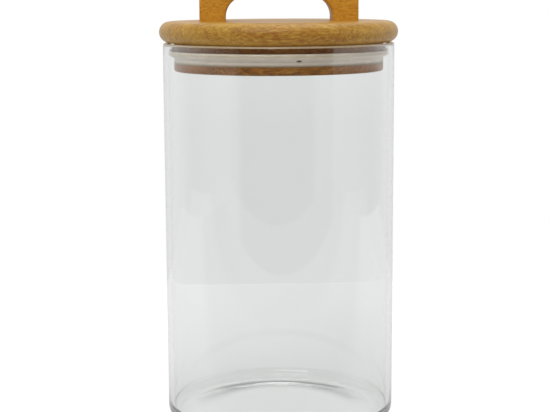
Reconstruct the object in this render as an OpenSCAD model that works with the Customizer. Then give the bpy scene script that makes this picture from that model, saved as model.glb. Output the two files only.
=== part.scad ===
// Lidded glass canister: a straight glass tube jar, and a wooden lid whose
// plug carries a lipped silicone seal. A bridge handle is screwed on from
// below. Millimetres, +Z up, origin at the centre of the base.

/* [Jar] */
// Outside diameter of the glass tube
jar_d = 100; // [85:1:130]
// Height of the glass jar, without its lid
jar_h = 165; // [80:1:240]
// Thickness of the glass wall
wall_t = 2.3; // [1.6:0.1:3.2]
// Thickness of the glass floor, measured over the ring it stands on
floor_t = 3.5; // [2.8:0.1:6]
// Outside radius of the heel, where the wall turns into the floor
heel_r = 5; // [2:0.5:7]
// Inside radius between the wall and the floor
fillet_r = 3.7; // [2:0.1:6]
// Width of the flat ring that the jar stands on
foot_w = 4; // [3:0.5:8]
// Height of the punt, the shallow hollow under the floor
punt_h = 0.6; // [0.2:0.1:1.2]
// Width over which the punt rises from the ring to its full height
punt_rise_w = 12; // [6:1:20]

/* [Lid] */
// Thickness of the disc, whose edge is a full half-round
disc_t = 9; // [6:0.5:16]
// How far the disc stands out past the glass
overhang = 1.5; // [0:0.5:5]
// Height of the plug that enters the mouth
plug_h = 12; // [10:0.5:20]
// Free space between the plug and the inside of the glass
plug_gap = 2.5; // [1.6:0.1:3.5]
// Radius on the lower edge of the plug
plug_edge_r = 1; // [0.4:0.1:1.4]
// Distance from the disc down to the seal groove
groove_drop = 3.2; // [2:0.1:4]
// Height of the seal groove
groove_h = 5.5; // [4.5:0.1:6]
// Depth of the seal groove
groove_depth = 3.7; // [3.2:0.1:6]

/* [Seal] */
// Thickness of the band that lies in the groove
band_t = 1.8; // [1:0.1:2.2]
// Thickness of the flared lip
lip_t = 1.2; // [0.8:0.1:1.4]
// Height of the lip's upright part, which stands along the glass
lip_h = 1.8; // [1.6:0.1:2.4]
// Height over which the lip flares out to the glass
flare_h = 1.4; // [1:0.1:1.8]
// Thickness of the root that joins band and lip, beside the band
root_t = 1.8; // [1:0.1:2]

/* [Handle] */
// Length of the handle across the lid
handle_len = 68; // [58:1:76]
// Thickness of the board that the handle is cut from
handle_t = 15; // [10:0.5:20]
// Width of each leg where it stands on the disc
leg_w = 11.3; // [9:0.1:13]
// Thickness of the grip bar over the crown of the arch
bar_t = 11; // [8:0.5:15]
// Height of the straight part of the legs, below the arch
spring_h = 2; // [1:0.2:5]
// Rise of the arch, from its springing to its crown
arch_rise = 12; // [10:0.5:15]
// Radius of the small arcs at the haunches of the arch
haunch_r = 8.6; // [6:0.2:9]
// Radius of the outer top corners
corner_r = 12; // [5:0.5:16]
// Width of the eased edges
ease = 1; // [0.4:0.1:1.5]

/* [Screws] */
// Diameter of the plain shank
shank_d = 4; // [3:0.5:5]
// Diameter of the threaded core in the handle
core_d = 2.8; // [2:0.2:3.6]
// Diameter of the countersunk head
head_d = 8; // [6:0.5:9]
// Length under the top of the head
screw_len = 35; // [28:1:40]
// How deep the head is sunk below the plug's face
head_sink = 0.6; // [0.2:0.1:1.5]

/* [Hidden] */

$fn = 72;
arc_fn = 32;      // small arcs inside a revolved outline
eps = 0.01;       // overshoot of a cut past the face it opens
slip = 0.01;      // how far the crown and leg cuts pass the haunch arcs
seat_gap = 0.15;  // air between the disc and the fire-rounded rim
glass_gap = 0.1;  // air between the fitted lip and the glass
run_gap = 0.05;   // running clearance of the seal in its groove

jar_r = jar_d / 2;
inner_r = jar_r - wall_t;
rim_r = wall_t / 2;
punt_r = jar_r - heel_r - foot_w;

disc_z = jar_h + seat_gap;
disc_r = jar_r + overhang;
disc_top = disc_z + disc_t;

plug_r = inner_r - plug_gap;
plug_z = disc_z - plug_h;
groove_z = disc_z - groove_drop - groove_h;
groove_r = plug_r - groove_depth;

seal_z = groove_z + run_gap;
seal_h = groove_h - 2 * run_gap;
band_r = groove_r + run_gap;
lip_r = inner_r - glass_gap;

arch_half = handle_len / 2 - leg_w;
handle_h = spring_h + arch_rise + bar_t;
haunch_x = arch_half - haunch_r;
// Crown radius of a three-centre arch that meets both haunch arcs smoothly
crown_r = (pow(haunch_x, 2) + pow(arch_rise, 2) - pow(haunch_r, 2))
          / (2 * (arch_rise - haunch_r));
crown_z = spring_h + arch_rise - crown_r;

screw_x = handle_len / 2 - leg_w / 2;
screw_z = plug_z + head_sink;
head_h = (head_d - shank_d) / 2;
tip_h = core_d;
shank_len = disc_top - screw_z;
slot_w = 1.1;     // width of the cross recess in the head
slot_len = 4.2;   // span of the cross recess
slot_depth = 1.6; // depth of the cross recess

glass_colour = [0.82, 0.9, 0.88, 0.35];
lid_colour = "#C39A55";
plug_colour = "#A97A3F";
handle_colour = "#BB8636";
seal_colour = "#D9D5CA";
steel_colour = "#B9BCC0";

// ---- Jar ----------------------------------------------------------------

// Half section of the glass: wall, heel, floor and fire-rounded rim
module glass_section() {
    difference() {
        union() {
            translate([0, heel_r]) square([jar_r, jar_h - heel_r - rim_r]);
            square([jar_r - heel_r, heel_r + eps]);
            translate([jar_r - heel_r, heel_r]) circle(heel_r, $fn = arc_fn);
        }
        translate([-1, floor_t + fillet_r]) square([inner_r + 1, jar_h]);
        translate([-1, floor_t]) square([inner_r - fillet_r + 1, jar_h]);
        translate([inner_r - fillet_r, floor_t + fillet_r])
            circle(fillet_r, $fn = arc_fn);
    }
    translate([inner_r + rim_r, jar_h - rim_r]) circle(rim_r, $fn = arc_fn);
}

// Half section of the hollow under the floor: a gentle slope up from the
// ring, then flat. It reaches below the floor, so that the cut is clean.
module punt_section() {
    polygon([[0, -1], [punt_r, -1], [punt_r, 0],
             [punt_r - punt_rise_w, punt_h], [0, punt_h]]);
}

module glass_jar() {
    color(glass_colour) rotate_extrude() difference() {
        glass_section();
        punt_section();
    }
}

// ---- Lid ----------------------------------------------------------------

// Puts one child on each of the two screw axes
module at_screws() {
    for (side = [-1, 1]) translate([side * screw_x, 0, 0]) children();
}

module lid_disc() {
    color(lid_colour) difference() {
        translate([0, 0, disc_z]) rotate_extrude() {
            square([disc_r - disc_t / 2, disc_t]);
            translate([disc_r - disc_t / 2, disc_t / 2])
                intersection() {
                    circle(disc_t / 2, $fn = 2 * arc_fn);
                    translate([0, -disc_t]) square([disc_t, 2 * disc_t]);
                }
        }
        at_screws() translate([0, 0, disc_z - 1])
            cylinder(h = disc_t + 2, d = shank_d, $fn = arc_fn);
    }
}

// Half section of the plug, rounded below and grooved for the seal
module plug_section() {
    difference() {
        union() {
            translate([0, plug_edge_r]) square([plug_r, plug_h - plug_edge_r]);
            square([plug_r - plug_edge_r, plug_h]);
            translate([plug_r - plug_edge_r, plug_edge_r])
                circle(plug_edge_r, $fn = arc_fn);
        }
        translate([groove_r, groove_z - plug_z])
            square([groove_depth + 1, groove_h]);
    }
}

module lid_plug() {
    color(plug_colour) difference() {
        translate([0, 0, plug_z]) rotate_extrude() plug_section();
        at_screws() {
            translate([0, 0, plug_z - 1])
                cylinder(h = plug_h + 2, d = shank_d, $fn = arc_fn);
            translate([0, 0, plug_z - 1])
                cylinder(h = head_sink + 1, d = head_d, $fn = arc_fn);
            translate([0, 0, screw_z])
                cylinder(h = head_h, d1 = head_d, d2 = shank_d, $fn = arc_fn);
        }
    }
}

// ---- Seal ---------------------------------------------------------------

// Section of the ring: a band in the groove, a foot that is flush with the
// plug, and a lip that flares from it to the glass and stands up along it
module seal_section() {
    lip_in = lip_r - lip_t;
    lip_top = seal_h - lip_t / 2;
    lip_foot = seal_h - lip_h;
    polygon([
        [band_r, 0],
        [plug_r, 0],
        [plug_r, lip_foot - flare_h],
        [lip_r, lip_foot],
        [lip_r, lip_top],
        [lip_in, lip_top],
        [lip_in, lip_foot + lip_t / 2],
        [band_r + band_t, root_t],
        [band_r + band_t, seal_h],
        [band_r, seal_h],
    ]);
    translate([lip_in + lip_t / 2, lip_top]) circle(lip_t / 2, $fn = arc_fn);
}

module seal_ring() {
    color(seal_colour) translate([0, 0, seal_z])
        rotate_extrude() seal_section();
}

// ---- Handle -------------------------------------------------------------

// Rectangle with its four corners cut back by the eased edge
module eased_rect(w, h) {
    polygon([
        [ease - w / 2, -h / 2], [w / 2 - ease, -h / 2],
        [w / 2, ease - h / 2], [w / 2, h / 2 - ease],
        [w / 2 - ease, h / 2], [ease - w / 2, h / 2],
        [-w / 2, h / 2 - ease], [-w / 2, ease - h / 2],
    ]);
}

// Round bar along Y with eased ends, for an outer top corner
module corner_bar() {
    rotate([90, 0, 0]) translate([0, 0, -handle_t / 2]) rotate_extrude()
        polygon([
            [0, 0], [corner_r - ease, 0],
            [corner_r, ease], [corner_r, handle_t - ease],
            [corner_r - ease, handle_t], [0, handle_t],
        ]);
}

// The board before its arch is cut: legs, bar and two rounded top corners
module handle_board() {
    shoulder_z = handle_h - corner_r;
    linear_extrude(shoulder_z) eased_rect(handle_len, handle_t);
    intersection() {
        translate([corner_r - handle_len / 2, 0, 0])
            rotate([90, 0, 90]) linear_extrude(handle_len - 2 * corner_r)
                eased_rect(handle_t, 2 * handle_h);
        translate([0, 0, handle_h])
            cube([handle_len, handle_t, 2 * handle_h], center = true);
    }
    for (side = [-1, 1])
        translate([side * (handle_len / 2 - corner_r), 0, shoulder_z])
            corner_bar();
}

// Cylinder along Y through the board, flared where it meets each face
module flared_bar(r) {
    for (face = [0, 1]) mirror([0, face, 0]) rotate([-90, 0, 0]) {
        cylinder(h = handle_t / 2 - ease + eps, r = r);
        translate([0, 0, handle_t / 2 - ease])
            cylinder(h = ease + eps, r1 = r, r2 = r + ease + eps);
    }
}

// The crown arc, kept between the two lines from its centre to the haunches'
module crown_cut() {
    reach = 2 * crown_r;
    lean = reach * haunch_x / (spring_h - crown_z);
    translate([0, 0, crown_z]) intersection() {
        flared_bar(crown_r + slip);
        translate([0, handle_t, 0]) rotate([90, 0, 0])
            linear_extrude(2 * handle_t)
                polygon([[0, 0], [lean, reach], [-lean, reach]]);
    }
}

// The straight sides of the opening, flared at both faces
module leg_cut() {
    x_in = arch_half + slip;
    x_out = x_in + ease + eps;
    y_in = handle_t / 2 - ease;
    y_out = handle_t / 2 + eps;
    translate([0, 0, -1]) linear_extrude(spring_h + 1)
        polygon([
            [-x_out, -y_out], [x_out, -y_out], [x_in, -y_in], [x_in, y_in],
            [x_out, y_out], [-x_out, y_out], [-x_in, y_in], [-x_in, -y_in],
        ]);
}

module arch_cut() {
    leg_cut();
    crown_cut();
    for (side = [-1, 1])
        translate([side * haunch_x, 0, spring_h]) flared_bar(haunch_r);
}

module handle() {
    color(handle_colour) translate([0, 0, disc_top]) difference() {
        handle_board();
        arch_cut();
        at_screws() translate([0, 0, -1]) {
            core_len = screw_len - shank_len;
            cylinder(h = core_len - tip_h + 1, d = core_d, $fn = arc_fn);
            translate([0, 0, core_len - tip_h + 1])
                cylinder(h = tip_h, d1 = core_d, d2 = 0, $fn = arc_fn);
        }
    }
}

// ---- Screws -------------------------------------------------------------

// Countersunk wood screw, head down, with a cross recess
module wood_screw() {
    $fn = arc_fn;
    difference() {
        union() {
            cylinder(h = head_h, d1 = head_d, d2 = shank_d);
            cylinder(h = shank_len, d = shank_d);
            cylinder(h = screw_len - tip_h, d = core_d);
            translate([0, 0, screw_len - tip_h])
                cylinder(h = tip_h, d1 = core_d, d2 = 0);
        }
        for (turn = [0, 90]) rotate(turn)
            cube([slot_len, slot_w, 2 * slot_depth], center = true);
    }
}

module handle_screw_left() {
    color(steel_colour) translate([-screw_x, 0, screw_z]) wood_screw();
}

module handle_screw_right() {
    color(steel_colour) translate([screw_x, 0, screw_z]) wood_screw();
}

glass_jar();
lid_disc();
lid_plug();
seal_ring();
handle();
handle_screw_left();
handle_screw_right();
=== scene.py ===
"""Looks of the lidded glass canister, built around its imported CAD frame.

Everything is in metres, in the row frame: +Z up along the jar's axis, +X along
the handle. Sizes are read from the frame's boxes, with the few that a box
can't give named below.
"""

import math

import bmesh
import bpy
from mathutils import Matrix, Vector


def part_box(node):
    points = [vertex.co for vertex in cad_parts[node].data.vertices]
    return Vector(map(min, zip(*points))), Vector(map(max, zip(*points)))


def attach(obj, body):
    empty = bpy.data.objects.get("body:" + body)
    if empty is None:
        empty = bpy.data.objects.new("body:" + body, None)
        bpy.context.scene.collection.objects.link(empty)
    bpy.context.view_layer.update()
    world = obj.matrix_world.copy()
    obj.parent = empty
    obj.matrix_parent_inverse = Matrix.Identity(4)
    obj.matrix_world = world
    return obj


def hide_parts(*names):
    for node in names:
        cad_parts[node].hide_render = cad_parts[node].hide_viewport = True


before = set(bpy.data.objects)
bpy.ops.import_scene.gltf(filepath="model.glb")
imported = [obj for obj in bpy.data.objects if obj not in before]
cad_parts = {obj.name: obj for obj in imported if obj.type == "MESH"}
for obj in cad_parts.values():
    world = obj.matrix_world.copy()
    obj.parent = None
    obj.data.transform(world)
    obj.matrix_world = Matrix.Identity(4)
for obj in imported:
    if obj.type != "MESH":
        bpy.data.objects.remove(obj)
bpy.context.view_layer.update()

MM = 0.001

# ---- Driving sizes that the frame's boxes don't give -----------------------------

WALL_T = 2.3 * MM          # glass wall
FLOOR_T = 3.5 * MM         # glass floor over the ring it stands on
HEEL_R = 5.0 * MM          # outside radius from wall to floor
FILLET_R = 3.7 * MM        # inside radius from wall to floor
FOOT_W = 4.0 * MM          # flat ring that the jar stands on
PUNT_SLOPE = 0.05          # how the hollow under the floor rises from that ring
PUNT_FLAT = 25.0 * MM      # radius in which it is flat
PUNT_EASE = 8.0 * MM       # width over which the slope dies out
FOOT_AIR = 0.03 * MM       # dry contact: air under the ring but for its middle
PLUG_EDGE_R = 1.0 * MM     # rounded lower edge of the plug
GROOVE_DEPTH = 3.7 * MM    # seal groove in the plug
RUN_GAP = 0.05 * MM        # air round the seal in its groove
BAND_T = 1.8 * MM          # seal: band in the groove
LIP_T = 1.2 * MM           # seal: flared lip
LIP_H = 1.8 * MM           # seal: height of the lip's upright part
FLARE_H = 1.4 * MM         # seal: height over which the lip flares out
LIP_BEND = 0.4 * MM        # seal: size of the bend from flare to upright
ROOT_T = 1.8 * MM          # seal: root that joins band and lip
LEG_W = 11.3 * MM          # handle: width of a leg
SPRING_H = 2.0 * MM        # handle: straight part of the legs
ARCH_RISE = 12.0 * MM      # handle: springing to crown
HAUNCH_R = 8.6 * MM        # handle: small arcs of the arch
CORNER_R = 12.0 * MM       # handle: outer top corners
EASE = 1.0 * MM            # handle: rounded edges
SCREW_HEAD_R = 4.0 * MM
SHANK_R = 2.0 * MM
CORE_R = 1.4 * MM
TIP_LEN = 2 * CORE_R       # cone at the screw's tip
HEAD_SINK = 0.6 * MM       # screw heads below the plug's face

TURN_STEPS = 288           # segments round a turned or blown piece
ARC_STEPS = 12             # segments in a small arc of an outline

# ---- Sizes read from the frame ---------------------------------------------------

jar_lo, jar_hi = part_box("glass_jar")
disc_lo, disc_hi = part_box("lid_disc")
plug_lo, plug_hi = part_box("lid_plug")
seal_lo, seal_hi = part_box("seal_ring")
handle_lo, handle_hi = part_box("handle")
screw_lo, screw_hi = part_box("handle_screw_right")

JAR_R = jar_hi.x
JAR_H = jar_hi.z
DISC_R = disc_hi.x
DISC_T = disc_hi.z - disc_lo.z
PLUG_R = plug_hi.x
LIP_R = seal_hi.x
INNER_R = JAR_R - WALL_T
SCREW_X = (screw_lo.x + screw_hi.x) / 2

# ---- Camera ----------------------------------------------------------------------

FRAME_PX = (550, 412)              # the photograph's frame
SENSOR_W = 36.0                    # mm
FOCAL_PX = 1366.6                  # focal length fitted to the outline
CAMERA_DISTANCE = 595.3 * MM       # from the jar's axis
CAMERA_SIDE = -1.90 * MM           # sideways shift of the camera
CAMERA_OVER_RIM = 22.6 * MM        # height over the jar's rim
CAMERA_PITCH = math.radians(9.01)  # looking down
CAMERA_ROLL = -0.005               # radians
HANDLE_YAW = math.radians(2.4)     # how far the handle is turned from the picture plane


def add_camera():
    camera = bpy.data.objects.new("camera", bpy.data.cameras.new("camera"))
    bpy.context.scene.collection.objects.link(camera)
    camera.data.sensor_width = SENSOR_W
    camera.data.lens = FOCAL_PX * SENSOR_W / FRAME_PX[0]
    camera.data.clip_start = 0.01
    camera.data.clip_end = 50.0
    orbit = Matrix.Rotation(-HANDLE_YAW, 4, "Z")
    place = Matrix.Translation(
        (CAMERA_SIDE, -CAMERA_DISTANCE, JAR_H + CAMERA_OVER_RIM))
    tilt = Matrix.Rotation(math.pi / 2 - CAMERA_PITCH, 4, "X")
    roll = Matrix.Rotation(CAMERA_ROLL, 4, "Z")
    camera.matrix_world = orbit @ place @ tilt @ roll
    bpy.context.scene.camera = camera


# ---- Node helpers ----------------------------------------------------------------


class Nodes:
    """A short way to build a node tree: nodes by type, links by socket."""

    def __init__(self, tree):
        self.tree = tree
        tree.nodes.clear()

    def add(self, kind, settings=None, **inputs):
        node = self.tree.nodes.new(kind)
        for name, value in (settings or {}).items():
            setattr(node, name, value)
        for name, value in inputs.items():
            self.feed(node, name.replace("_", " "), value)
        return node

    def feed(self, node, socket, value):
        target = node.inputs[int(socket[1:])] if socket[0] == "#" else node.inputs[socket]
        if isinstance(value, bpy.types.NodeSocket):
            self.tree.links.new(value, target)
        else:
            target.default_value = value

    def math(self, operation, a, b=0.0, clamp=False):
        node = self.tree.nodes.new("ShaderNodeMath")
        node.operation = operation
        node.use_clamp = clamp
        self.feed(node, "#0", a)
        if len(node.inputs) > 1:
            self.feed(node, "#1", b)
        return node.outputs[0]

    def mix(self, factor, a, b, blend="MIX"):
        node = self.tree.nodes.new("ShaderNodeMix")
        node.data_type = "RGBA"
        node.blend_type = blend
        self.feed(node, "#0", factor)
        self.feed(node, "#6", a)
        self.feed(node, "#7", b)
        return node.outputs[2]

    def choose(self, factor, a, b):
        node = self.tree.nodes.new("ShaderNodeMix")
        self.feed(node, "#0", factor)
        self.feed(node, "#2", a)
        self.feed(node, "#3", b)
        return node.outputs[0]

    def ramp(self, factor, stops, smooth=False):
        node = self.tree.nodes.new("ShaderNodeValToRGB")
        if smooth:
            node.color_ramp.interpolation = "EASE"
        elements = node.color_ramp.elements
        elements[0].position, elements[0].color = stops[0][0], rgba(stops[0][1])
        elements[1].position, elements[1].color = stops[-1][0], rgba(stops[-1][1])
        for position, colour in stops[1:-1]:
            elements.new(position).color = rgba(colour)
        self.feed(node, "Fac", factor)
        return node.outputs["Color"]

    def remap(self, value, low, high, to_low=0.0, to_high=1.0):
        node = self.tree.nodes.new("ShaderNodeMapRange")
        self.feed(node, "Value", value)
        for name, number in (("From Min", low), ("From Max", high),
                             ("To Min", to_low), ("To Max", to_high)):
            self.feed(node, name, number)
        return node.outputs["Result"]

    def noise(self, vector, scale, detail=2.0, roughness=0.5, distortion=0.0):
        node = self.add("ShaderNodeTexNoise", Vector=vector, Scale=scale,
                        Detail=detail, Roughness=roughness, Distortion=distortion)
        return node.outputs["Fac"]

    def length(self, vector):
        node = self.add("ShaderNodeVectorMath", {"operation": "LENGTH"}, Vector=vector)
        return node.outputs["Value"]

    def axis(self, vector, letter):
        return self.add("ShaderNodeSeparateXYZ", Vector=vector).outputs[letter]

    def stretch(self, vector, scale, offset=(0.0, 0.0, 0.0)):
        node = self.add("ShaderNodeMapping", Vector=vector, Scale=scale, Location=offset)
        return node.outputs["Vector"]


def rgba(colour):
    """A grey number or an RGB tuple as the RGBA that a socket wants."""
    if isinstance(colour, (int, float)):
        return (colour, colour, colour, 1.0)
    return tuple(colour) + (1.0,)


def srgb(code):
    """Linear RGB of a colour written as a six-digit sRGB code."""
    channels = [int(code[i:i + 2], 16) / 255 for i in (0, 2, 4)]
    return tuple(c / 12.92 if c <= 0.04045 else ((c + 0.055) / 1.055) ** 2.4
                 for c in channels)


def new_material(name):
    material = bpy.data.materials.new(name)
    material.use_nodes = True
    return material, Nodes(material.node_tree)


# ---- Stage and light -------------------------------------------------------------

SHEET_FRONT = 0.39         # m, from the jar's axis to the white sheet's front edge
SHEET_SIDE = 0.60          # m, to its sides
SHEET_BACK = 0.27          # m, to its back edge
SHEET_COLOUR = 0.30        # grey that matt light sees, so the wood isn't lit from below
SHEET_GLOW = 0.78          # what it adds for the camera
SHEET_BOUNCE = 0.42        # and the light that it throws back on matt surfaces
SHEET_PAINTED_REFLECTION = 0.15      # painted reflection: what its front adds in a reflection, a dark level
SHEET_UNDER = 0.575        # what it adds under the jar, seen through glass
UNDER_EDGE = 10 * MM       # over which that part ends inside the jar's outline
SHEET_BEHIND = 0.585       # what it adds behind the jar, far from it
SHEET_SHADE = 0.165        # painted shade: how much darker it is there right at the jar
SHADE_REACH = 0.075        # m, over which that painted shade dies away
SHEET_PAINTED_FALLOFF = 0.03          # painted falloff of light: how much it fades from the jar's left side to its right
STAGE_WHITE = 1.0          # the backdrop as the camera sees it
STAGE_GREY = 0.825         # the pale grey that it is in gloss and through glass
STAGE_HIGH = 0.86          # and what it rises to at eye level
ROOM_FRONT = 0.04          # the unlit room in front, as gloss and glass show it
ROOM_SIDES = 1.6           # the white surround at the sides
ROOM_TOP = 0.4             # the ceiling
ROOM_TABLE = (0.60, 0.36)  # the table under the surround, to the left and right
ROOM_LEFT = (-55, -95)     # degrees from straight ahead over which the surround fades in
ROOM_RIGHT = (51, 53)      # to the left and right
TABLE_LEFT = (-39, -45)    # and over which the table does to the left
ROOM_BEHIND = (105, 130)   # degrees over which both give way to the backdrop
TABLE_TOP = (-0.06, -0.045)      # sines of elevation at which the table meets the surround
CEILING_EDGE = (0.3, 0.55)       # the surround meets the ceiling
BACKDROP_RISE = (-0.10, -0.065)  # and the backdrop rises to its lighter part
AMBIENT_TOP = 0.65         # soft light on matt surfaces from above
AMBIENT_LOW = 0.50         # and from below
AMBIENT_RISE = (-0.4, 0.9)  # sines of elevation between which it changes
SOFTBOXES = {               # place and size in m, power in W
    "key_softbox": ((-0.25, -0.75, 0.95), (0.7, 0.5), 4.0),
    "top_softbox": ((0.1, 0.1, 1.1), (0.8, 0.8), 4.2),
}


def seen_by_optics(n, path):
    """1 for what gloss and glass show, 0 for the light on matt surfaces, which
    may also have come through the glass."""
    optics = n.math("MAXIMUM", path.outputs["Is Glossy Ray"],
                    path.outputs["Is Transmission Ray"])
    return n.math("GREATER_THAN", optics, path.outputs["Diffuse Depth"])


def mirrored_once(n, path):
    """1 for what a single reflection shows."""
    return n.math("COMPARE", path.outputs["Glossy Depth"], 1.0)


def sheet_material():
    """A matt white sheet whose own glow sets what the camera and the glass see. Through the
    glass that glow holds painted shade round the jar and a painted falloff of light from
    left to right. In a single reflection its front shows a painted dark level.
    """
    material, n = new_material("stage_sheet")
    path = n.add("ShaderNodeLightPath")
    place = n.add("ShaderNodeTexCoord").outputs["Object"]
    # Painted shade: seen through the glass, the sheet's glow darkens towards the jar and is
    # darkest right at it.
    away = n.math("SUBTRACT", n.length(place), JAR_R)
    near = n.math("EXPONENT", n.math("MULTIPLY", away, -1.0 / SHADE_REACH))
    shown = n.math("SUBTRACT", SHEET_BEHIND, n.math("MULTIPLY", near, SHEET_SHADE))
    shown = n.choose(n.remap(away, -UNDER_EDGE, 0.0), SHEET_UNDER, shown)
    # Painted light: through the glass, the sheet is lighter on the jar's left than on its
    # right.
    fade = n.remap(n.axis(place, "X"), -JAR_R, JAR_R, SHEET_PAINTED_FALLOFF / 2, -SHEET_PAINTED_FALLOFF / 2)
    shown = n.math("ADD", shown, fade)
    # Painted reflection: in a single reflection, the sheet's front shows a dark level
    # instead of its glow.
    ahead = n.remap(n.axis(place, "Y"), -JAR_R, -2 * JAR_R)
    ahead = n.math("MULTIPLY", ahead, mirrored_once(n, path))
    shown = n.choose(ahead, shown, SHEET_PAINTED_REFLECTION)
    level = n.choose(seen_by_optics(n, path), SHEET_BOUNCE, shown)
    level = n.choose(path.outputs["Is Camera Ray"], level, SHEET_GLOW)
    matt = n.add("ShaderNodeBsdfDiffuse", Color=rgba(SHEET_COLOUR))
    glow = n.add("ShaderNodeEmission", Color=rgba(1.0), Strength=level)
    both = n.add("ShaderNodeAddShader")
    n.feed(both, "#0", matt.outputs[0])
    n.feed(both, "#1", glow.outputs[0])
    n.add("ShaderNodeOutputMaterial", Surface=both.outputs[0])
    return material


def add_sheet():
    grid = bmesh.new()
    corners = [(-SHEET_SIDE, -SHEET_FRONT), (SHEET_SIDE, -SHEET_FRONT),
               (SHEET_SIDE, SHEET_BACK), (-SHEET_SIDE, SHEET_BACK)]
    grid.faces.new([grid.verts.new((x, y, 0.0)) for x, y in corners])
    sheet = mesh_object("stage_sheet", grid, sheet_material())


def room_level(n, axes, path):
    """What gloss and glass show. A reflection finds the backdrop behind, a white
    surround at the sides with a darker table under it, and an unlit room straight
    ahead; straight through glass, or deep in it, there is only the backdrop."""
    to_front = n.math("MULTIPLY", axes.outputs["Y"], -1.0)
    azimuth = n.math("ARCTAN2", axes.outputs["X"], to_front)
    right, left, low_left = [n.remap(azimuth, *map(math.radians, edges))
                             for edges in (ROOM_RIGHT, ROOM_LEFT, TABLE_LEFT)]
    table = n.choose(right, n.choose(low_left, ROOM_FRONT, ROOM_TABLE[0]), ROOM_TABLE[1])
    surround = n.choose(n.math("MAXIMUM", left, right), ROOM_FRONT, ROOM_SIDES)
    level = n.choose(n.remap(axes.outputs["Z"], *TABLE_TOP), table, surround)
    level = n.choose(n.remap(axes.outputs["Z"], *CEILING_EDGE), level, ROOM_TOP)
    behind = n.remap(n.math("ABSOLUTE", azimuth), *map(math.radians, ROOM_BEHIND))
    level = n.choose(behind, level, STAGE_GREY)
    backdrop = n.remap(axes.outputs["Z"], *BACKDROP_RISE, STAGE_GREY, STAGE_HIGH)
    return n.choose(mirrored_once(n, path), backdrop, level)


def add_world():
    """White for the camera, the room for gloss and glass, and a soft top light
    for matt surfaces."""
    world = bpy.data.worlds.new("studio")
    bpy.context.scene.world = world
    world.use_nodes = True
    n = Nodes(world.node_tree)
    where = n.add("ShaderNodeTexCoord").outputs["Generated"]
    axes = n.add("ShaderNodeSeparateXYZ", Vector=where)
    ambient = n.remap(axes.outputs["Z"], *AMBIENT_RISE, AMBIENT_LOW, AMBIENT_TOP)
    path = n.add("ShaderNodeLightPath")
    level = n.choose(seen_by_optics(n, path), ambient, room_level(n, axes, path))
    level = n.choose(path.outputs["Is Camera Ray"], level, STAGE_WHITE)
    sky = n.add("ShaderNodeBackground", Color=rgba(1.0), Strength=level)
    n.add("ShaderNodeOutputWorld", Surface=sky.outputs[0])


def add_softbox(name, place, size, power):
    """A rectangular lamp that faces the lid."""
    lamp = bpy.data.lights.new(name, "AREA")
    lamp.shape = "RECTANGLE"
    lamp.size, lamp.size_y = size
    lamp.energy = power
    holder = bpy.data.objects.new(name, lamp)
    bpy.context.scene.collection.objects.link(holder)
    aim = (Vector((0.0, 0.0, JAR_H)) - Vector(place)).to_track_quat("-Z", "Y")
    holder.matrix_world = Matrix.Translation(place) @ aim.to_matrix().to_4x4()


def add_lights():
    for name, (place, size, power) in SOFTBOXES.items():
        add_softbox(name, place, size, power)


# ---- Mesh helpers ----------------------------------------------------------------


def mesh_object(name, bm, material, smooth_angle=35.0):
    """Turns a bmesh into a linked object, smooth but for edges past the angle."""
    bmesh.ops.recalc_face_normals(bm, faces=bm.faces)
    mesh = bpy.data.meshes.new(name)
    bm.to_mesh(mesh)
    bm.free()
    mesh.shade_smooth()
    mesh.set_sharp_from_angle(angle=math.radians(smooth_angle))
    mesh.materials.append(material)
    piece = bpy.data.objects.new(name, mesh)
    bpy.context.scene.collection.objects.link(piece)
    return piece


def arc(cx, cz, radius, start, end, steps=ARC_STEPS):
    """Points on an arc, with angles in degrees from +X towards +Z."""
    angles = [math.radians(start + (end - start) * i / steps) for i in range(steps + 1)]
    return [(cx + radius * math.cos(a), cz + radius * math.sin(a)) for a in angles]


def line(start, end, steps):
    """Points from start to end, without the end itself."""
    return [(start[0] + (end[0] - start[0]) * i / steps,
             start[1] + (end[1] - start[1]) * i / steps) for i in range(steps)]


def lathe(outline, steps=TURN_STEPS):
    """A bmesh of a closed outline of (radius, height) points turned about Z.
    A point on the axis becomes one vertex."""
    bm = bmesh.new()
    rings = []
    for radius, height in outline:
        if radius < 1e-7:
            rings.append([bm.verts.new((0.0, 0.0, height))] * steps)
            continue
        ring = []
        for i in range(steps):
            a = 2 * math.pi * i / steps
            ring.append(bm.verts.new((radius * math.cos(a), radius * math.sin(a), height)))
        rings.append(ring)
    for low, high in zip(rings, rings[1:] + rings[:1]):
        for i in range(steps):
            j = (i + 1) % steps
            corners = []
            for vert in (low[i], low[j], high[j], high[i]):
                if vert not in corners:
                    corners.append(vert)
            if len(corners) > 2:
                bm.faces.new(corners)
    return bm


# ---- Glass jar -------------------------------------------------------------------

INNER_ECHOES = 3.0         # reflection at which rays may leave the glass straight on
ECHO_EXIT = 0.40           # share of those rays that do
RIM_GROUND = 0.8 * MM      # height of the satin ground edge of the rim
RIM_HAZE = 0.50            # how much of it is haze


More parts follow.
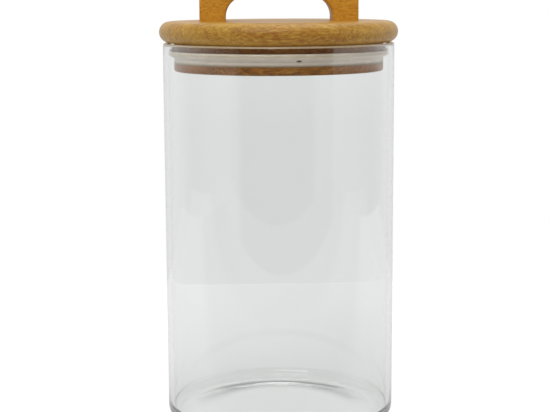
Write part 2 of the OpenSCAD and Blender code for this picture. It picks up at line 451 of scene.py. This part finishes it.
def glass_material():
    """Clear tube glass with a slight grey cast. Light that only casts shadows
    passes it, so what stands behind or inside is lit, and so does a ray that
    the thick heel would trap."""
    material, n = new_material("clear_glass")
    place = n.add("ShaderNodeTexCoord").outputs["Object"]
    waves = n.noise(n.stretch(place, (22.0, 22.0, 5.0)), 1.0, detail=1.0)
    bump = n.add("ShaderNodeBump", Height=waves, Strength=0.03, Distance=0.002)
    glass = n.add("ShaderNodeBsdfPrincipled", Roughness=0.0, IOR=1.47,
                  Normal=bump.outputs[0])
    glass.inputs["Base Color"].default_value = rgba((0.965, 0.978, 0.971))
    glass.inputs["Transmission Weight"].default_value = 1.0
    see_through = n.add("ShaderNodeBsdfTransparent", Color=rgba(0.93))
    path = n.add("ShaderNodeLightPath")
    trapped = n.math("COMPARE", path.outputs["Glossy Depth"], INNER_ECHOES)
    trapped = n.math("MULTIPLY", trapped, ECHO_EXIT)
    ground = n.remap(n.axis(place, "Z"), JAR_H - RIM_GROUND, JAR_H - 0.8 * RIM_GROUND,
                     0.0, RIM_HAZE)
    haze = n.add("ShaderNodeBsdfDiffuse", Color=rgba(srgb("E8D2A6")))
    body = n.add("ShaderNodeMixShader")
    n.feed(body, "#0", ground)
    n.feed(body, "#1", glass.outputs[0])
    n.feed(body, "#2", haze.outputs[0])
    mix = n.add("ShaderNodeMixShader")
    n.feed(mix, "#0", n.math("MAXIMUM", path.outputs["Is Shadow Ray"], trapped))
    n.feed(mix, "#1", body.outputs[0])
    n.feed(mix, "#2", see_through.outputs[0])
    depth = n.add("ShaderNodeVolumeAbsorption", Color=rgba(0.2), Density=8.0)
    n.add("ShaderNodeOutputMaterial", Surface=mix.outputs[0], Volume=depth.outputs[0])
    return material


def punt_outline(punt_r, steps=120):
    """The hollow under the floor, from its centre to the ring: it slopes up from
    the ring and eases into a flat."""
    points = [(punt_r, FOOT_AIR)]
    stride = punt_r / steps
    for i in range(1, steps + 1):
        between = punt_r - (i - 0.5) * stride
        ease = min(1.0, max(0.0, (between - PUNT_FLAT) / PUNT_EASE))
        points.append((punt_r - i * stride, points[-1][1] + PUNT_SLOPE * ease * stride))
    points[-1] = (0.0, points[-1][1])
    return points[::-1]


def glass_outline():
    rim_r = WALL_T / 2
    punt_r = JAR_R - HEEL_R - FOOT_W
    outline = punt_outline(punt_r)
    outline += [(punt_r + FOOT_W / 2, 0.0)]
    outline += arc(JAR_R - HEEL_R, HEEL_R, HEEL_R, -84, 0, 2 * ARC_STEPS)
    outline += line((JAR_R, HEEL_R * 1.5), (JAR_R, JAR_H - rim_r), 24)
    outline += arc(JAR_R - rim_r, JAR_H - rim_r, rim_r, 0, 180, 2 * ARC_STEPS)
    outline += line((INNER_R, JAR_H - rim_r * 1.5), (INNER_R, FLOOR_T + FILLET_R), 24)
    outline += arc(INNER_R - FILLET_R, FLOOR_T + FILLET_R, FILLET_R, 0, -90, 2 * ARC_STEPS)
    outline += line((INNER_R - FILLET_R * 1.2, FLOOR_T), (0.0, FLOOR_T), 8)
    outline += [(0.0, FLOOR_T)]
    return outline


def add_jar():
    jar = mesh_object("jar_glass", lathe(glass_outline()), glass_material(), 60.0)
    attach(jar, "jar")
    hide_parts("glass_jar")


# ---- Wood ------------------------------------------------------------------------


def growth_rings(n, in_mm, heart, ring_mm, seed):
    """Faint rings round the log's heart, a point (y, z) in mm, bent by a slow drift."""
    drift = n.add("ShaderNodeTexNoise", Scale=1.0, Detail=2.0,
                  Vector=n.stretch(in_mm, (0.03, 0.09, 0.09))).outputs["Color"]
    centred = n.add("ShaderNodeVectorMath", {"operation": "SUBTRACT"})
    n.feed(centred, "#0", drift)
    n.feed(centred, "#1", (0.5, 0.5, 0.5))
    scaled = n.add("ShaderNodeVectorMath", {"operation": "SCALE"}, Scale=9.0)
    n.feed(scaled, "#0", centred.outputs[0])
    bent = n.add("ShaderNodeVectorMath", {"operation": "ADD"})
    n.feed(bent, "#0", in_mm)
    n.feed(bent, "#1", scaled.outputs[0])
    from_heart = n.stretch(bent.outputs[0], (0.0, 1.0, 1.0),
                           (0.0, -heart[0] - seed, -heart[1]))
    turns = n.math("MULTIPLY", n.length(from_heart), math.tau / ring_mm)
    return n.math("MULTIPLY", n.math("SINE", turns), 0.07)


def red_streaks(n, place, in_mm, streak):
    """How red the wood is: streaks along the grain, strongest inside an ellipse
    with its centre (x, z) and its reach (x, z) in mm."""
    centre, reach = streak
    apart = n.stretch(place, (1000.0 / reach[0], 0.0, 1000.0 / reach[1]),
                      (-centre[0] / reach[0], 0.0, -centre[1] / reach[1]))
    streaks = n.noise(n.stretch(in_mm, (0.16, 1.3, 1.3), (31.0, 7.0, 5.0)), 1.0, 3.0, 0.6)
    return n.math("MULTIPLY", n.remap(streaks, 0.38, 0.62),
                  n.remap(n.length(apart), 1.2, 0.4, 0.12, 0.85))


def wood_material(name, tones, heart, ring_mm, streak, seed, gloss=0.32):
    """Close-grained wood sawn from a log that lies along X: faint growth rings, with
    mottling and fine flecks along the grain, and streaks of the red tone."""
    light, middle, dark, red = tones
    material, n = new_material(name)
    place = n.add("ShaderNodeTexCoord").outputs["Object"]
    in_mm = n.stretch(place, (1000.0, 1000.0, 1000.0), (seed, seed, 0.0))

    patches = n.noise(n.stretch(in_mm, (0.04, 0.16, 0.16)), 1.0, 1.0)
    mottle = n.noise(n.stretch(in_mm, (0.32, 0.9, 0.9)), 1.0, 3.0, 0.7)
    flecks = n.noise(n.stretch(in_mm, (0.7, 2.2, 2.2)), 1.0, 2.0, 0.7)
    rings = growth_rings(n, in_mm, heart, ring_mm, seed)
    tone = n.math("ADD", n.remap(mottle, 0.3, 0.7, 0.15, 0.75), rings)
    tone = n.math("ADD", tone, n.remap(flecks, 0.3, 0.7, -0.26, 0.26))
    tone = n.math("ADD", tone, n.remap(patches, 0.3, 0.7, -0.14, 0.14), clamp=True)
    colour = n.ramp(tone, [(0.0, light), (0.5, middle), (1.0, dark)])
    colour = n.mix(red_streaks(n, place, in_mm, streak), colour, rgba(red))

    grain = n.math("ADD", n.math("MULTIPLY", flecks, 0.6), n.math("MULTIPLY", mottle, 0.4))
    bump = n.add("ShaderNodeBump", Height=grain, Strength=0.3, Distance=0.0004)
    shine = n.remap(flecks, 0.2, 0.8, 0.3, 0.42)
    wood = n.add("ShaderNodeBsdfPrincipled", Base_Color=colour, Roughness=shine,
                 Normal=bump.outputs[0])
    wood.inputs["Specular IOR Level"].default_value = gloss
    n.add("ShaderNodeOutputMaterial", Surface=wood.outputs[0])
    return material


# Light, middle, dark and red tone of each wood
LID_TONES = (srgb("C8A044"), srgb("AE822E"), srgb("7E521A"), srgb("925412"))
PLUG_TONES = (srgb("B88238"), srgb("9E6426"), srgb("744416"), srgb("5E3C1C"))
HANDLE_TONES = (srgb("E0A23C"), srgb("C48A2C"), srgb("90601A"), srgb("A8661E"))


BORE_STEPS = 48            # segments round a screw or its hole
PAST = 1 * MM              # how far a cutter reaches past the face that it opens


def screw_cutters(outline):
    """Cutters for both screws: an outline of (radius, height) points turned about
    each screw's axis."""
    cutters = bmesh.new()
    for side in (-1, 1):
        bore = lathe(outline, BORE_STEPS)
        bmesh.ops.translate(bore, verts=bore.verts, vec=(side * SCREW_X, 0.0, 0.0))
        part = bpy.data.meshes.new("bore")
        bore.to_mesh(part)
        bore.free()
        cutters.from_mesh(part)
        bpy.data.meshes.remove(part)
    return cutters


def cut_away(piece, cutters, smooth_angle=35.0):
    """Subtracts a closed bmesh from a piece and keeps its smooth shading."""
    bmesh.ops.recalc_face_normals(cutters, faces=cutters.faces)
    mesh = bpy.data.meshes.new("cutter")
    cutters.to_mesh(mesh)
    cutters.free()
    tool = bpy.data.objects.new("cutter", mesh)
    bpy.context.scene.collection.objects.link(tool)
    cut = piece.modifiers.new("cut", "BOOLEAN")
    cut.operation = "DIFFERENCE"
    cut.solver = "EXACT"
    cut.object = tool
    graph = bpy.context.evaluated_depsgraph_get()
    result = bpy.data.meshes.new_from_object(piece.evaluated_get(graph))
    piece.modifiers.clear()
    old = piece.data
    piece.data = result
    piece.data.name = piece.name
    bpy.data.meshes.remove(old)
    bpy.data.objects.remove(tool)
    bpy.data.meshes.remove(mesh)
    piece.data.shade_smooth()
    piece.data.set_sharp_from_angle(angle=math.radians(smooth_angle))


def add_disc():
    """The disc rests on the rim; its edge is a full half-round, and the screws'
    shanks go through it."""
    half = DISC_T / 2
    flat_r = DISC_R - half
    outline = line((0.0, disc_lo.z), (flat_r, disc_lo.z), 12)
    outline += arc(flat_r, disc_lo.z + half, half, -90, 90, 4 * ARC_STEPS)
    outline += line((flat_r * 0.98, disc_hi.z), (0.0, disc_hi.z), 12)
    outline += [(0.0, disc_hi.z)]
    wood = wood_material("lid_wood", LID_TONES, heart=(150.0, 60.0), ring_mm=2.1,
                         streak=((2.0, 168.8), (34.0, 3.8)), seed=11.0)
    disc = mesh_object("lid_disc_turned", lathe(outline), wood)
    low, high = disc_lo.z - PAST, disc_hi.z + PAST
    bore = [(0.0, low), (SHANK_R, low), (SHANK_R, high), (0.0, high)]
    cut_away(disc, screw_cutters(bore))
    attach(disc, "lid")
    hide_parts("lid_disc")


def add_plug():
    """The plug under the disc, with its seal groove and screw holes."""
    groove_r = PLUG_R - GROOVE_DEPTH
    groove_lo = seal_lo.z - RUN_GAP
    groove_hi = seal_hi.z + RUN_GAP
    inner = PLUG_R - PLUG_EDGE_R
    outline = line((0.0, plug_lo.z), (inner, plug_lo.z), 12)
    outline += arc(inner, plug_lo.z + PLUG_EDGE_R, PLUG_EDGE_R, -90, 0)
    outline += [(PLUG_R, groove_lo), (groove_r, groove_lo),
                (groove_r, groove_hi), (PLUG_R, groove_hi), (PLUG_R, plug_hi.z)]
    outline += line((inner, plug_hi.z), (0.0, plug_hi.z), 12)
    outline += [(0.0, plug_hi.z)]
    wood = wood_material("plug_wood", PLUG_TONES, heart=(60.0, 90.0), ring_mm=2.4,
                         streak=((-14.0, 154.5), (50.0, 2.6)), seed=57.0)
    plug = mesh_object("lid_plug_turned", lathe(outline), wood)
    low, high = plug_lo.z - PAST, plug_hi.z + PAST
    head_z = plug_lo.z + HEAD_SINK
    sink = [(0.0, low), (SCREW_HEAD_R, low), (SCREW_HEAD_R, head_z),
            (SHANK_R, head_z + SCREW_HEAD_R - SHANK_R), (SHANK_R, high), (0.0, high)]
    cut_away(plug, screw_cutters(sink))
    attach(plug, "lid")
    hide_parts("lid_plug")


# ---- Handle ----------------------------------------------------------------------

EASE_STEPS = 6             # segments round an eased edge


def handle_outline():
    """The outline in the XZ plane, from the outer left foot over the top and
    back through the three-centre arch. Each point has the direction in which
    the rounded edge moves it inwards."""
    half = (handle_hi.x - handle_lo.x) / 2
    base = handle_lo.z
    top = handle_hi.z
    arch_half = half - LEG_W
    haunch_x = arch_half - HAUNCH_R
    crown_r = ((haunch_x ** 2 + ARCH_RISE ** 2 - HAUNCH_R ** 2)
               / (2 * (ARCH_RISE - HAUNCH_R)))
    spring_z = base + SPRING_H
    crown_z = spring_z + ARCH_RISE - crown_r
    joint = math.degrees(math.atan2(spring_z - crown_z, haunch_x))

    def along(points, inwards):
        return [(x, z, *inwards) for x, z in points]

    def round_arc(cx, cz, radius, start, end, steps, sign):
        out = []
        for x, z in arc(cx, cz, radius, start, end, steps):
            out.append((x, z, sign * (cx - x) / radius, sign * (cz - z) / radius))
        return out

    shoulder = top - CORNER_R
    corner_x = half - CORNER_R
    points = along(line((-half, base), (-half, shoulder), 8), (1, 0))
    points += round_arc(-corner_x, shoulder, CORNER_R, 180, 90, 24, 1)
    points += along(line((-corner_x, top), (corner_x, top), 16)[1:], (0, -1))
    points += round_arc(corner_x, shoulder, CORNER_R, 90, 0, 24, 1)
    points += along(line((half, shoulder), (half, base), 8)[1:], (-1, 0))
    points += [(half, base, -1, 0)]
    points += [(arch_half, base, 1, 0)]
    points += round_arc(haunch_x, spring_z, HAUNCH_R, 0, joint, 20, -1)
    points += round_arc(0.0, crown_z, crown_r, joint, 180 - joint, 32, -1)[1:]
    points += round_arc(-haunch_x, spring_z, HAUNCH_R, 180 - joint, 180, 20, -1)[1:]
    points += [(-arch_half, base, -1, 0)]
    return points


def add_handle():
    """The outline, swept through the board's thickness with both edges rounded."""
    outline = handle_outline()
    half_t = (handle_hi.y - handle_lo.y) / 2
    loops = []
    profile = []
    for k in range(EASE_STEPS + 1):
        turn = math.pi / 2 * k / EASE_STEPS
        profile.append((EASE * (1 - math.cos(turn)), half_t - EASE + EASE * math.sin(turn)))
    sections = [(inset, -y) for inset, y in reversed(profile)] + profile
    bm = bmesh.new()
    for inset, y in sections:
        loops.append([bm.verts.new((x + ix * inset, y, z + iz * inset))
                      for x, z, ix, iz in outline])
    count = len(outline)
    for near, far in zip(loops, loops[1:]):
        for i in range(count):
            j = (i + 1) % count
            bm.faces.new((near[i], near[j], far[j], far[i]))
    bm.faces.new(loops[0])
    bm.faces.new(loops[-1][::-1])
    wood = wood_material("handle_wood", HANDLE_TONES, heart=(-160.0, 178.0), ring_mm=3.2,
                         streak=((0.0, 200.0), (30.0, 6.0)), seed=83.0, gloss=0.12)
    handle = mesh_object("handle_bridge", bm, wood, 40.0)
    low, high = handle_lo.z - PAST, screw_hi.z
    pilot = [(0.0, low), (CORE_R, low), (CORE_R, high - TIP_LEN), (0.0, high)]
    cut_away(handle, screw_cutters(pilot), 40.0)
    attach(handle, "lid")
    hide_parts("handle")


# ---- Seal ------------------------------------------------------------------------

NICK_ANGLE = math.radians(-82.3)   # where the small brown nick is, from +X
NICK_Z = 2.5 * MM                  # and its height over the seal's foot
NICK_SIZE = (1.1 * MM, 0.45 * MM)  # half its length and half its height


def nick_mask(n, place):
    """1 in a small ellipse on the seal's front, 0 round it."""
    centre = (PLUG_R * math.cos(NICK_ANGLE), seal_lo.z + NICK_Z)
    apart = n.stretch(place, (1 / NICK_SIZE[0], 0.0, 1 / NICK_SIZE[1]),
                      (-centre[0] / NICK_SIZE[0], 0.0, -centre[1] / NICK_SIZE[1]))
    inside = n.remap(n.length(apart), 1.2, 0.7)
    return n.math("MULTIPLY", inside, n.math("LESS_THAN", n.axis(place, "Y"), 0.0))


def silicone_material():
    """Pale translucent silicone with fine bloom and a satin skin, with painted light and
    shade up its height.
    """
    material, n = new_material("silicone")
    place = n.add("ShaderNodeTexCoord").outputs["Object"]
    clouds = n.noise(n.stretch(place, (260.0, 260.0, 420.0)), 1.0, 3.0)
    # Painted light and shade up the height: dark brown at the foot is painted shade where
    # the seal meets the plug, together with the wood seen through the silicone; a pale band
    # of painted light lies below the lip; it is greyer under the lip's top; and a painted
    # highlight runs along the top edge.
    height = n.remap(n.axis(place, "Z"), seal_lo.z, seal_hi.z)
    colour = n.ramp(height, [(0.0, srgb("8A7452")), (0.28, srgb("EEE1D2")),
                             (0.58, srgb("EEE1D2")), (0.78, srgb("CDBFAB")),
                             (1.0, srgb("E0D3C1"))], smooth=True)
    bloom = n.ramp(clouds, [(0.3, 1.0), (0.7, 0.86)])
    colour = n.mix(1.0, colour, bloom, "MULTIPLY")
    colour = n.mix(nick_mask(n, place), colour, rgba(srgb("6E5230")))
    skin = n.noise(n.stretch(place, (2600.0, 2600.0, 2600.0)), 1.0, 2.0)
    bump = n.add("ShaderNodeBump", Height=skin, Strength=0.08, Distance=0.0002)
    shine = n.remap(clouds, 0.3, 0.7, 0.34, 0.46)
    silicone = n.add("ShaderNodeBsdfPrincipled", Base_Color=colour, Roughness=shine,
                     Normal=bump.outputs[0])
    silicone.inputs["IOR"].default_value = 1.41
    silicone.inputs["Subsurface Weight"].default_value = 0.6
    silicone.inputs["Subsurface Radius"].default_value = (1.0, 0.9, 0.75)
    silicone.inputs["Subsurface Scale"].default_value = 0.003
    n.add("ShaderNodeOutputMaterial", Surface=silicone.outputs[0])
    return material


def add_seal():
    """A band in the groove, and a lip that flares to the glass and stands up."""
    band_r = PLUG_R - GROOVE_DEPTH + RUN_GAP
    band_out = band_r + BAND_T
    lip_in = LIP_R - LIP_T
    lip_r = LIP_T / 2
    lip_top = seal_hi.z - lip_r
    low = seal_lo.z
    foot = seal_hi.z - LIP_H
    outline = line((band_r, low), (PLUG_R, low), 3)
    outline += line((PLUG_R, low), (PLUG_R, foot - FLARE_H), 3)
    outline += line((PLUG_R, foot - FLARE_H), (LIP_R - LIP_BEND, foot - 0.6 * LIP_BEND), 4)
    outline += [(LIP_R - 0.4 * LIP_BEND, foot - 0.1 * LIP_BEND),
                (LIP_R - 0.1 * LIP_BEND, foot + 0.4 * LIP_BEND)]
    outline += line((LIP_R, foot + LIP_BEND), (LIP_R, lip_top), 3)
    outline += arc(lip_in + lip_r, lip_top, lip_r, 0, 180)
    outline += [(lip_in, foot + lip_r), (band_out, low + ROOT_T),
                (band_out, seal_hi.z), (band_r, seal_hi.z)]
    seal = mesh_object("seal_lip_ring", lathe(outline), silicone_material(), 30.0)
    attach(seal, "seal")
    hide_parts("seal_ring")


# ---- Screws ----------------------------------------------------------------------

THREAD_PITCH = 1.8 * MM
THREAD_HALF = 0.35 * MM    # half the thread's width at its foot
THREAD_ROOT = 0.1 * MM     # how deep its foot lies in the core
THREAD_STEPS = 24          # segments in one turn of it
SLOT_W = 1.1 * MM          # cross recess: width of a bar
SLOT_LEN = 4.2 * MM        # and its length
SLOT_DEPTH = 1.6 * MM
SLOT_TAPER = 0.55          # share of both that is left at the bottom
SLOT_TURN = 20             # degrees that the cross is turned


def steel_material():
    """Zinc-plated steel with faint stains of a darker grey."""
    material, n = new_material("screw_steel")
    place = n.add("ShaderNodeTexCoord").outputs["Object"]
    stains = n.noise(n.stretch(place, (900.0, 900.0, 900.0)), 1.0, 3.0)
    colour = n.ramp(stains, [(0.3, srgb("B4B8BE")), (0.7, srgb("9A9DA3"))])
    shine = n.remap(stains, 0.3, 0.7, 0.25, 0.4)
    steel = n.add("ShaderNodeBsdfPrincipled", Base_Color=colour, Roughness=shine)
    steel.inputs["Metallic"].default_value = 1.0
    n.add("ShaderNodeOutputMaterial", Surface=steel.outputs[0])
    return material


def screw_bmesh(length):
    """A countersunk wood screw, head down, with its foot at the origin."""
    head_h = SCREW_HEAD_R - SHANK_R
    plain = disc_hi.z - screw_lo.z
    outline = [(0.0, 0.0), (SCREW_HEAD_R - 0.2 * MM, 0.0), (SCREW_HEAD_R, 0.15 * MM),
               (SHANK_R, head_h), (SHANK_R, plain), (CORE_R, plain + 0.3 * MM),
               (CORE_R, length - TIP_LEN), (0.0, length)]
    return lathe(outline, BORE_STEPS)


def recess_bar(at_x, turn):
    """Cutter for one bar of a head's cross recess: it narrows to its bottom."""
    bar = bmesh.new()
    bmesh.ops.create_cube(bar, size=1.0)
    for vert in bar.verts:
        deep = vert.co.z > 0
        taper = SLOT_TAPER if deep else 1.0
        vert.co.x *= SLOT_LEN * taper
        vert.co.y *= SLOT_W * taper
        vert.co.z = SLOT_DEPTH if deep else -0.5 * MM
    spin = Matrix.Rotation(math.radians(turn + SLOT_TURN), 4, "Z")
    place = Matrix.Translation((at_x, 0.0, screw_lo.z))
    bmesh.ops.transform(bar, matrix=place @ spin, verts=bar.verts)
    return bar


def add_thread(bm, start, end):
    """A helical ridge round the screw's core, run out at both ends."""
    turns = (end - start) / THREAD_PITCH
    steps = int(turns * THREAD_STEPS)
    rings = []
    for i in range(steps + 1):
        share = i / steps
        swell = min(1.0, 8 * share, 8 * (1 - share))
        a = 2 * math.pi * turns * share
        z = start + (end - start) * share
        crest = CORE_R + (SHANK_R - CORE_R) * swell
        root = CORE_R - THREAD_ROOT
        spots = [(root, z - THREAD_HALF), (crest, z), (root, z + THREAD_HALF)]
        rings.append([bm.verts.new((r * math.cos(a), r * math.sin(a), h)) for r, h in spots])
    for low, high in zip(rings, rings[1:]):
        for i in range(3):
            j = (i + 1) % 3
            bm.faces.new((low[i], low[j], high[j], high[i]))
    bm.faces.new(rings[0])
    bm.faces.new(rings[-1][::-1])


def add_screws():
    """Both screws: a turned body with its recess cut, and the thread added to it."""
    steel = steel_material()
    length = screw_hi.z - screw_lo.z
    plain = disc_hi.z - screw_lo.z
    for name, side in (("left", -1), ("right", 1)):
        body = screw_bmesh(length)
        place = Matrix.Translation((side * SCREW_X, 0.0, screw_lo.z))
        bmesh.ops.transform(body, matrix=place, verts=body.verts)
        screw = mesh_object("screw_" + name, body, steel, 30.0)
        for turn in (0, 90):
            cut_away(screw, recess_bar(side * SCREW_X, turn))
        whole = bmesh.new()
        add_thread(whole, plain + 1 * MM, length - TIP_LEN)
        bmesh.ops.transform(whole, matrix=place, verts=whole.verts)
        bmesh.ops.recalc_face_normals(whole, faces=whole.faces)
        whole.from_mesh(screw.data)
        whole.to_mesh(screw.data)
        whole.free()
        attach(screw, "lid")
        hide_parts("handle_screw_" + name)


# ---- Scene -----------------------------------------------------------------------


def main():
    scene = bpy.context.scene
    scene.view_settings.view_transform = "Standard"
    add_camera()
    add_world()
    add_lights()
    add_sheet()
    add_jar()
    add_disc()
    add_plug()
    add_seal()
    add_handle()
    add_screws()


main()
